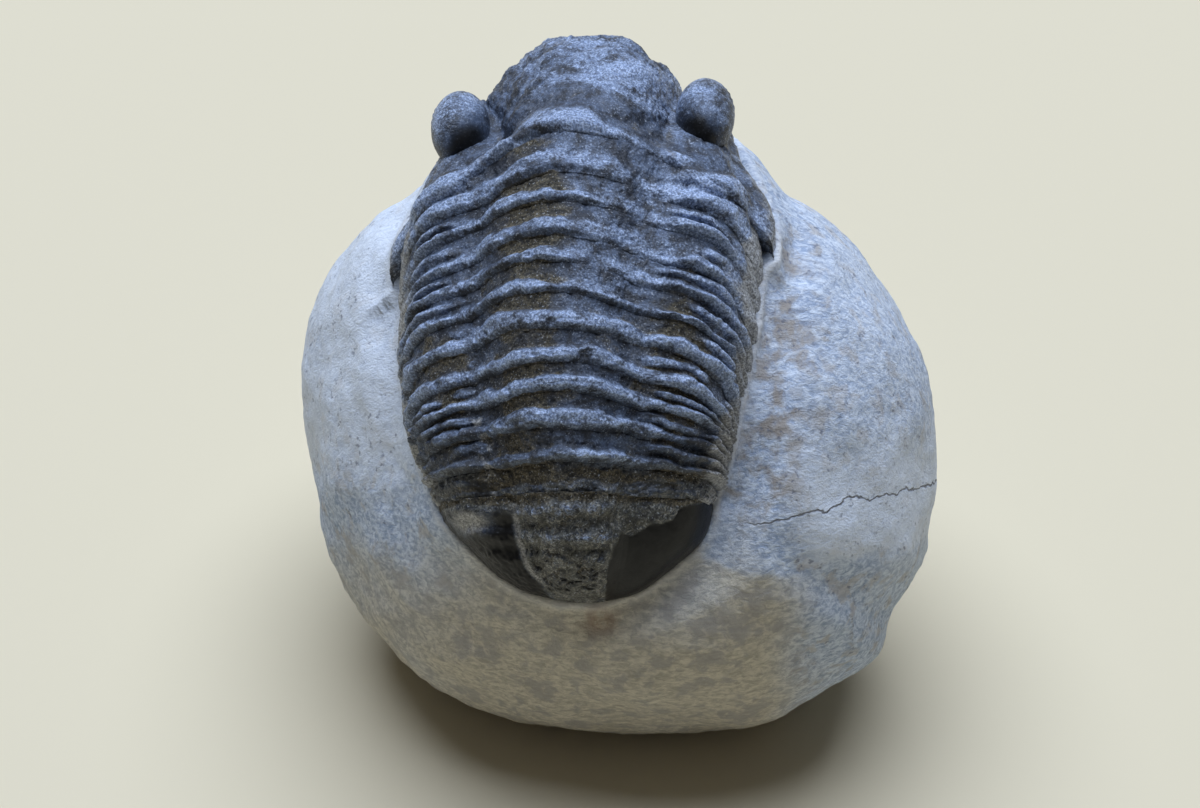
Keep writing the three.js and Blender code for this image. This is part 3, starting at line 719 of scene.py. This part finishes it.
def nearest_edge(flat, line):
    """Distance from flat points to a closed line, which stretch is nearest and how far along it."""
    start, end = line, np.roll(line, -1, axis=0)
    step = end - start
    best = np.full(len(flat), np.inf)
    where = np.zeros(len(flat))
    inside = np.zeros(len(flat), bool)
    for i in range(len(start)):
        offset = flat - start[i]
        t = np.clip(offset @ step[i] / max(step[i] @ step[i], 1e-12), 0, 1)
        gap = np.hypot(*(offset - t[:, None] * step[i]).T)
        nearer = gap < best
        best = np.where(nearer, gap, best)
        where = np.where(nearer, i + t, where)
        crosses = (start[i, 1] > flat[:, 1]) != (end[i, 1] > flat[:, 1])
        rise = step[i, 1] if abs(step[i, 1]) > 1e-12 else 1e-12
        inside ^= crosses & (flat[:, 0] < start[i, 0] + (flat[:, 1] - start[i, 1]) * step[i, 0] / rise)
    return best, where, inside


def nodule_points(turn, rise):
    """Bed points of the bare stone, by direction in the bed plane and rise out of it."""
    out = along(STONE_OUTLINE, np.degrees(turn) % 360) * np.cos(rise) ** (2 / STONE_ROUNDNESS)
    u = out * np.cos(turn)
    v = out * np.sin(turn)
    w = STONE_DEPTH * np.sin(rise) + STONE_SHEAR * u
    points = np.stack([u, v, w], -1)
    swell = sum(height * np.sin(fu * u + phase) * np.sin(fv * v + 2 * phase) * np.sin(fw * w + 3 * phase)
                for height, fu, fv, fw, phase in LUMPS)
    return points * (1 + swell / np.linalg.norm(points, axis=-1))[..., None]


def beside_animal(ways):
    """For directions from the bed's zero point: how far outside the animal's edge they pass, how far
    out that edge lies, and its place along the body and side."""
    line, line_s, line_side = edge_line()
    line_size = np.linalg.norm(line, axis=1)
    line_ways = line / line_size[:, None]
    middle = unit(line_ways.mean(0))
    gap, where, inside = nearest_edge(flatten(ways, middle), flatten(line_ways, middle))
    spot = np.round(where).astype(int) % len(line)
    first = np.floor(where).astype(int) % len(line)
    level = mix(line_size[first], line_size[(first + 1) % len(line)], where % 1)
    return np.where(inside, -gap, gap) * level, level, line_s[spot], line_side[spot]


ASH_EDGE = [(4, -6.4), (7, -7.1), (9.5, -7.9), (12, -7.7), (16, -6.8), (22, -5.6)]     # u and v
RUST_AT, RUST_HALF = (-1.2, -11.0), (1.6, 1.0)                                         # u and v
PIT_AT, PIT_HALF, PIT_DEPTH = (8.4, -2.8), (0.9, 1.0), 0.5


def matrix():
    """The stone, which meets the animal's edge all round, with lumps, a lip and a gutter."""
    high = np.pi / 2 - 0.004
    rise = np.concatenate([
        -high * np.cos(np.linspace(0, np.pi / 2, STONE_BACK_ROWS, endpoint=False)),
        high * np.linspace(0, 1, STONE_FRONT_ROWS),
    ])
    turn = np.arange(STONE_SPOKES) * 2 * np.pi / STONE_SPOKES
    rise, turn = np.meshgrid(rise, turn, indexing="ij")
    points = nodule_points(turn, rise).reshape(-1, 3)
    size = np.linalg.norm(points, axis=1)
    ways = points / size[:, None]
    gap, level, s, side = beside_animal(ways)

    climb = level - size
    reach = 3.2 + 1.5 * np.clip(climb, 0, 6) + 0.8 * noise(points / 6.0, 51)
    near = 1 - smooth(gap, 0.35, reach)
    new_size = mix(size, level + 0.15, near)
    gutter = smooth(s, 5, 9) * (1 - smooth(s, 25, 28)) * (side > 0)
    lip = np.clip(0.35 + 0.65 * gutter + 0.5 * noise(points / 2.2, 56), 0, 1.2)
    behind = (1 - smooth(s, 5, 9)) * smooth(noise(points / 1.6, 57), -0.5, 0.4)
    rim = 0.32 * bump(gap, 0.35, 0.28) * lip + 0.08 * bump(gap, 0.15, 0.12) * behind
    trench = -0.6 * bump(gap, 2.0, 1.3) * gutter
    under = -1.1 * smooth(-gap, 0.05, 0.6)
    u, v = points[:, 0], points[:, 1]
    lumpy = 0.22 * rough(points, 5.0, 3, 52) * (1 + 0.6 * smooth(-u, 8, 14))
    grain = 0.05 * rough(points, 0.9, 3, 55)
    chisel = 0.07 * noise(points * [0.5, 3.2, 3.2], 58) * gutter * bump(gap, 2.0, 2.0)
    flare = smooth(gap, 0.5, 2.0)
    pit = -PIT_DEPTH * bump(u, PIT_AT[0], PIT_HALF[0]) * bump(v, PIT_AT[1], PIT_HALF[1])
    new_size = new_size + rim + trench + under + lumpy * flare + grain * smooth(gap, -0.2, 0.3) + chisel + pit
    bed = ways * new_size[:, None]
    standing = stand(bed)
    standing[:, 2] = np.maximum(standing[:, 2], 0)

    u, v = bed[:, 0], bed[:, 1]
    # The ash tone: grey stone over the sand, and partly painted skylight that makes the upper and right parts
    # paler and bluer.
    boundary = along(ASH_EDGE, u) + 0.5 * rough(points, 3.0, 3, 61)
    sharp = 0.45 * smooth(v - boundary, -0.4, 0.4) * smooth(u, 3, 6)
    low = 1 - smooth(v, -6, 5)
    broad = smooth(v, -15, 6) * (1 - 0.35 * smooth(u, 4, 9)) + mix(0.1, 0.7, low) * smooth(u, 9, 17)
    # Painted fill light: paler on the left, and on both low sides.
    broad = broad + 0.55 * smooth(-u, 5, 17) * smooth(v, -8, 2) + 0.25 * smooth(np.abs(u), 8, 14) * low
    tones = {
        "ash_and_painted_skylight": sharp + broad,
        "gutter": gutter * bump(gap, 2.2, 1.9),
        "rim": (bump(gap, 0.3, 0.35) * lip + 0.8 * bump(gap, 0.15, 0.18) * behind) * smooth(gap, -0.3, 0.1),
        "rust": bump(u, RUST_AT[0], RUST_HALF[0]) * bump(v, RUST_AT[1], RUST_HALF[1]),
    }
    grid, _, faces = ringed(*rise.shape)
    faces.append(grid[-1].tolist())
    faces.append(grid[0][::-1].tolist())
    return make_object("nodule", standing, faces, tones)


# Materials

CRACK = ((8.5, -4.3), (23.0, -1.4))       # from and to, u and v
SHELL_BUMP = 0.16 * MM                    # how deep the finest relief of each material is
STONE_BUMP = 0.18 * MM
FLOOR_COLOUR = (0.66, 0.585, 0.43, 1)


def linear(red, green, blue):
    """Colour from 0 to 255 as the screen shows it, to the shader's own scale."""
    def one(value):
        value = value / 255
        return value / 12.92 if value <= 0.04045 else ((value + 0.055) / 1.055) ** 2.4
    return (one(red), one(green), one(blue), 1.0)


class Nodes:
    """Short calls for building a material's node tree."""

    def __init__(self, name):
        self.material = bpy.data.materials.new(name)
        self.material.use_nodes = True
        self.tree = self.material.node_tree
        self.tree.nodes.clear()
        self.shader = self.node("BsdfPrincipled")
        self.put(self.node("OutputMaterial").inputs["Surface"], self.shader.outputs["BSDF"])

    def put(self, socket, value):
        if isinstance(value, bpy.types.NodeSocket):
            self.tree.links.new(value, socket)
        else:
            socket.default_value = value

    def node(self, kind, settings=(), **inputs):
        """A new node with its settings and inputs. In an input's name, _ stands for a space."""
        node = self.tree.nodes.new("ShaderNode" + kind)
        for name, value in dict(settings).items():
            setattr(node, name, value)
        for name, value in inputs.items():
            self.put(node.inputs[name.replace("_", " ")], value)
        return node

    def set(self, name, value):
        self.put(self.shader.inputs[name], value)

    def millimetres(self, stretch=(1, 1, 1)):
        where = self.node("TexCoord").outputs["Object"]
        return self.node("Mapping", Vector=where, Scale=[x / MM for x in stretch]).outputs["Vector"]

    def tone(self, name):
        return self.node("Attribute", {"attribute_name": name}).outputs["Fac"]

    def bed_axes(self, where):
        """u and v, in millimetres."""
        axes = []
        turned = ((1, 0, 0), (0, math.cos(BED_LEAN), math.sin(BED_LEAN)))
        starts = (-SHIFT[0], -SHIFT[1] * math.cos(BED_LEAN) - BASE_DEPTH * math.sin(BED_LEAN))
        for way, start in zip(turned, starts):
            node = self.node("VectorMath", {"operation": "DOT_PRODUCT"})
            self.put(node.inputs[0], where)
            self.put(node.inputs[1], way)
            axes.append(self.math("ADD", node.outputs["Value"], start))
        return axes

    def noise(self, where, size, detail=3.0, roughness=0.55, warp=0.0):
        node = self.node("TexNoise", Vector=where, Scale=1 / size, Detail=detail,
                         Roughness=roughness, Distortion=warp)
        return node.outputs["Fac"]

    def math(self, kind, a, b=0.0, c=0.0):
        node = self.node("Math", {"operation": kind})
        for socket, value in zip(node.inputs, (a, b, c)):
            self.put(socket, value)
        return node.outputs[0]

    def times(self, a, b):
        return self.math("MULTIPLY", a, b)

    def stirred(self, value, noise, amount):
        """The value with a noise from 0 to 1 added that is centred on zero first."""
        return self.math("ADD", value, self.math("MULTIPLY_ADD", noise, amount, -amount / 2))

    def band(self, value, low, high):
        """0 below low, 1 above high, or the other way round, with a smooth step between."""
        start, end = (0.0, 1.0) if low < high else (1.0, 0.0)
        node = self.node("MapRange", {"interpolation_type": "SMOOTHSTEP"}, Value=value,
                         From_Min=min(low, high), From_Max=max(low, high), To_Min=start, To_Max=end)
        return node.outputs["Result"]

    def blend(self, a, b, share):
        return self.node("Mix", {"data_type": "RGBA"}, Factor=share, A=a, B=b).outputs["Result"]

    def scaled(self, colour, factor):
        node = self.node("VectorMath", {"operation": "SCALE"}, Scale=factor)
        self.put(node.inputs[0], colour)
        return node.outputs["Vector"]

    def bumps(self, height, strength, distance):
        return self.node("Bump", Height=height, Strength=strength, Distance=distance).outputs["Normal"]


def shell_material():
    """Bare shell, paler on its tops partly as a painted highlight, with umber and veins low on the body, then
    stone dust, earth, polish, painted shade and painted glints over it.
    """
    n = Nodes("shell")
    here = n.millimetres()
    fine = n.noise(here, 0.18, 4.0, 0.65)
    patch = n.noise(here, 1.3, 4.0, 0.6, 0.3)
    broad = n.noise(here, 4.5, 3.0, 0.5)
    speck = n.noise(here, 0.14, 2.0, 0.6)
    veins = n.noise(here, 0.75, 3.0, 0.6, 0.8)
    crumb = n.noise(here, 0.55, 4.0, 0.7, 0.5)
    streak = n.noise(n.millimetres((0.5, 1.0, 1.0)), 0.30, 5.0, 0.7, 0.3)

    dark = n.blend(linear(38, 43, 54), linear(88, 102, 126), n.band(patch, 0.36, 0.64))
    # The pale shell on the tops is partly worn shell and partly a painted highlight.
    pale_and_highlight = n.blend(linear(108, 126, 160), linear(176, 192, 220), n.band(fine, 0.34, 0.68))
    crest = n.stirred(n.stirred(n.stirred(n.tone("crest"), patch, 1.6), streak, 1.2), fine, 0.9)
    shell = n.blend(dark, pale_and_highlight, n.band(crest, 0.20, 1.15))
    umber = n.blend(linear(30, 30, 28), linear(88, 86, 74), n.band(crumb, 0.38, 0.62))
    plain = n.times(n.tone("net"), n.band(crest, 1.0, 0.5))
    shell = n.blend(shell, umber, n.times(plain, 0.9))
    line = n.band(n.math("ABSOLUTE", n.math("SUBTRACT", veins, 0.5)), 0.05, 0.01)
    line = n.times(n.times(line, n.tone("net")), n.band(patch, 0.35, 0.6))
    shell = n.blend(shell, linear(150, 146, 134), n.times(line, 0.7))

    dust = n.stirred(n.tone("dust"), streak, 1.2)
    powder = n.blend(linear(128, 127, 126), linear(190, 189, 186), n.band(fine, 0.36, 0.66))
    shell = n.blend(shell, powder, n.times(n.band(dust, 0.35, 1.05), 0.85))

    lines = n.math("MULTIPLY_ADD", streak, 0.6, n.times(fine, 0.4))
    brown = n.blend(linear(32, 30, 27), linear(108, 99, 80), n.band(lines, 0.38, 0.66))
    soil = n.band(n.stirred(n.stirred(n.tone("soil"), patch, 2.2), broad, 1.0), 0.30, 0.95)
    colour = n.blend(shell, brown, soil)

    polish_and_painted_shade = n.tone("polish_and_painted_shade")
    # Near-black glassy shell where it is polished, and painted shade in the eyes' hollows.
    glassy = n.blend(linear(16, 15, 14), linear(28, 27, 26), n.band(patch, 0.4, 0.65))
    colour = n.blend(colour, glassy, n.band(polish_and_painted_shade, 0.35, 0.95))
    matt = n.math("SUBTRACT", 1.0, polish_and_painted_shade)
    gritty = n.math("SUBTRACT", n.band(speck, 0.30, 0.70), 0.48)
    gritty = n.times(gritty, n.math("MULTIPLY_ADD", n.tone("net"), 0.3, 0.95))
    colour = n.scaled(colour, n.math("MULTIPLY_ADD", gritty, matt, 1.0))
    # Pale specks on the matt shell, partly painted glints.
    specks_and_painted_glints = n.times(n.band(speck, 0.62, 0.70), n.times(matt, 0.5))
    colour = n.blend(colour, linear(196, 202, 212), specks_and_painted_glints)
    n.set("Base Color", colour)

    dull = n.math("SUBTRACT", n.math("MULTIPLY_ADD", soil, 0.4, 0.43), n.times(polish_and_painted_shade, 0.10))
    n.set("Roughness", n.stirred(dull, fine, 0.2))
    n.set("Specular IOR Level", n.math("MULTIPLY_ADD", polish_and_painted_shade, -0.3, 0.55))
    calm = n.math("MULTIPLY_ADD", polish_and_painted_shade, -0.85, 1.0)
    height = n.math("ADD", n.times(fine, 0.9), n.times(streak, 0.6))
    n.set("Normal", n.bumps(n.times(height, calm), 0.8, SHELL_BUMP))
    return n.material


def limestone_material():
    """Sand-coloured stone with ash grey and painted bluish skylight over it, a painted highlight where that
    runs highest, then earth in the gutter, a pale rim, rust and a crack.
    """
    n = Nodes("limestone")
    here = n.millimetres()
    fibres = n.noise(n.millimetres((0.45, 1.0, 1.0)), 0.34, 5.0, 0.7, 0.6)
    grain = n.noise(here, 0.16, 3.0, 0.6)
    patch = n.noise(here, 1.6, 5.0, 0.6, 0.4)
    broad = n.noise(here, 6.0, 3.0, 0.5)
    fleck = n.noise(here, 0.42, 2.0, 0.5)

    ash_and_painted_skylight = n.blend(linear(150, 165, 190), linear(214, 223, 236), n.band(fibres, 0.36, 0.64))
    ash_and_painted_skylight = n.blend(ash_and_painted_skylight, linear(180, 172, 164), n.times(n.band(patch, 0.50, 0.66), 0.6))
    sand = n.blend(linear(170, 164, 150), linear(212, 204, 186), n.band(fibres, 0.34, 0.66))
    sand = n.blend(sand, linear(158, 154, 150), n.times(n.band(patch, 0.48, 0.62), 0.7))
    side = n.stirred(n.tone("ash_and_painted_skylight"), broad, 0.7)
    colour = n.blend(sand, ash_and_painted_skylight, n.band(side, 0.0, 1.0))
    # Painted highlight: near white where the ash tone runs highest.
    colour = n.blend(colour, linear(226, 232, 241), n.times(n.band(side, 1.0, 1.6), 0.7))

    brown = n.times(n.tone("gutter"), n.band(patch, 0.36, 0.62))
    colour = n.blend(colour, linear(146, 134, 120), n.times(brown, 0.7))
    colour = n.blend(colour, linear(222, 220, 216), n.times(n.tone("rim"), 0.6))
    rust = n.times(n.tone("rust"), n.band(patch, 0.35, 0.6))
    colour = n.blend(colour, linear(168, 132, 92), n.times(rust, 0.5))
    dark = n.times(n.band(fleck, 0.58, 0.70), n.band(patch, 0.42, 0.60))
    dark = n.times(dark, n.band(side, 0.5, 1.0))
    colour = n.blend(colour, linear(92, 100, 120), n.times(dark, 0.6))

    u, v = n.bed_axes(here)
    (u0, v0), (u1, v1) = CRACK
    slope = (v1 - v0) / (u1 - u0)
    path = n.math("MULTIPLY_ADD", u, slope, v0 - u0 * slope)
    path = n.stirred(path, n.noise(here, 1.9), 1.8)
    away = n.math("ABSOLUTE", n.math("SUBTRACT", v, path))
    crack = n.times(n.band(away, 0.11, 0.02), n.band(u, u0, u0 + 1.5))
    colour = n.blend(colour, linear(92, 90, 94), n.times(crack, 0.8))
    n.set("Base Color", colour)
    n.set("Roughness", 0.92)
    n.set("Specular IOR Level", 0.25)
    height = n.math("ADD", n.times(fibres, 0.8), n.times(grain, 0.5))
    height = n.math("SUBTRACT", height, n.times(crack, 0.8))
    n.set("Normal", n.bumps(height, 0.9, STONE_BUMP))
    return n.material


def floor_material():
    n = Nodes("floor")
    n.set("Base Color", FLOOR_COLOUR)
    n.set("Roughness", 0.9)
    n.set("Specular IOR Level", 0.1)
    return n.material


# Camera, floor and light

def facing(spot, right, out):
    """Matrix of a camera or lamp at a spot, with its back turned to out."""
    rotation = Matrix(np.stack([right, np.cross(out, right), out], 1).tolist())
    return Matrix.Translation(list(spot)) @ rotation.to_4x4()


def add_camera():
    camera = bpy.data.objects.new("camera", bpy.data.cameras.new("camera"))
    bpy.context.scene.collection.objects.link(camera)
    out = np.array([0, -math.sin(BED_LEAN), math.cos(BED_LEAN)])
    spot = stand(np.array([*VIEW_POINT, 0])) + out * VIEW_DISTANCE * MM
    camera.matrix_world = facing(spot, np.array([1.0, 0, 0]), out)
    camera.data.lens = VIEW_LENS
    camera.data.sensor_width = SENSOR
    camera.data.clip_start = 0.01
    camera.data.clip_end = 20
    bpy.context.scene.camera = camera


def add_floor():
    bpy.ops.mesh.primitive_plane_add(size=4)
    floor = bpy.context.active_object
    floor.name = "floor"
    floor.data.materials.append(floor_material())


def add_lamp():
    """One broad round lamp, high up and a little behind the stone."""
    lamp = bpy.data.lights.new("sky", "AREA")
    lamp.shape = "DISK"
    lamp.size = LAMP_SIZE
    lamp.energy = LAMP_POWER
    lamp.color = LAMP_COLOUR
    holder = bpy.data.objects.new("sky", lamp)
    bpy.context.scene.collection.objects.link(holder)
    out = unit(np.array(LAMP_AT) - np.array(LAMP_AIM))
    holder.matrix_world = facing(LAMP_AT, unit(np.cross([0.0, 1.0, 0.001], out)), out)


def add_world():
    world = bpy.data.worlds.new("world")
    bpy.context.scene.world = world
    world.use_nodes = True
    shade = world.node_tree.nodes["Background"]
    shade.inputs["Color"].default_value = SKY_COLOUR
    shade.inputs["Strength"].default_value = SKY_STRENGTH


# The whole

def dress(piece, node, material):
    piece.data.materials.clear()
    piece.data.materials.append(material)
    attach(piece, "root")
    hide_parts(node)


def main():
    bpy.context.scene.view_settings.view_transform = "Standard"
    add_camera()
    add_floor()
    add_world()
    add_lamp()
    shell = shell_material()
    dress(matrix(), "matrix", limestone_material())
    dress(cephalon(), "cephalon", shell)
    count = len(SEGMENT_LENGTHS)
    for number in range(1, count + 1):
        dress(plate(count - number, number), f"thoracic_segment_{number:02d}", shell)
    dress(pygidium(), "pygidium", shell)


def plain(box):
    return [[float(value) for value in corner] for corner in box]


main()
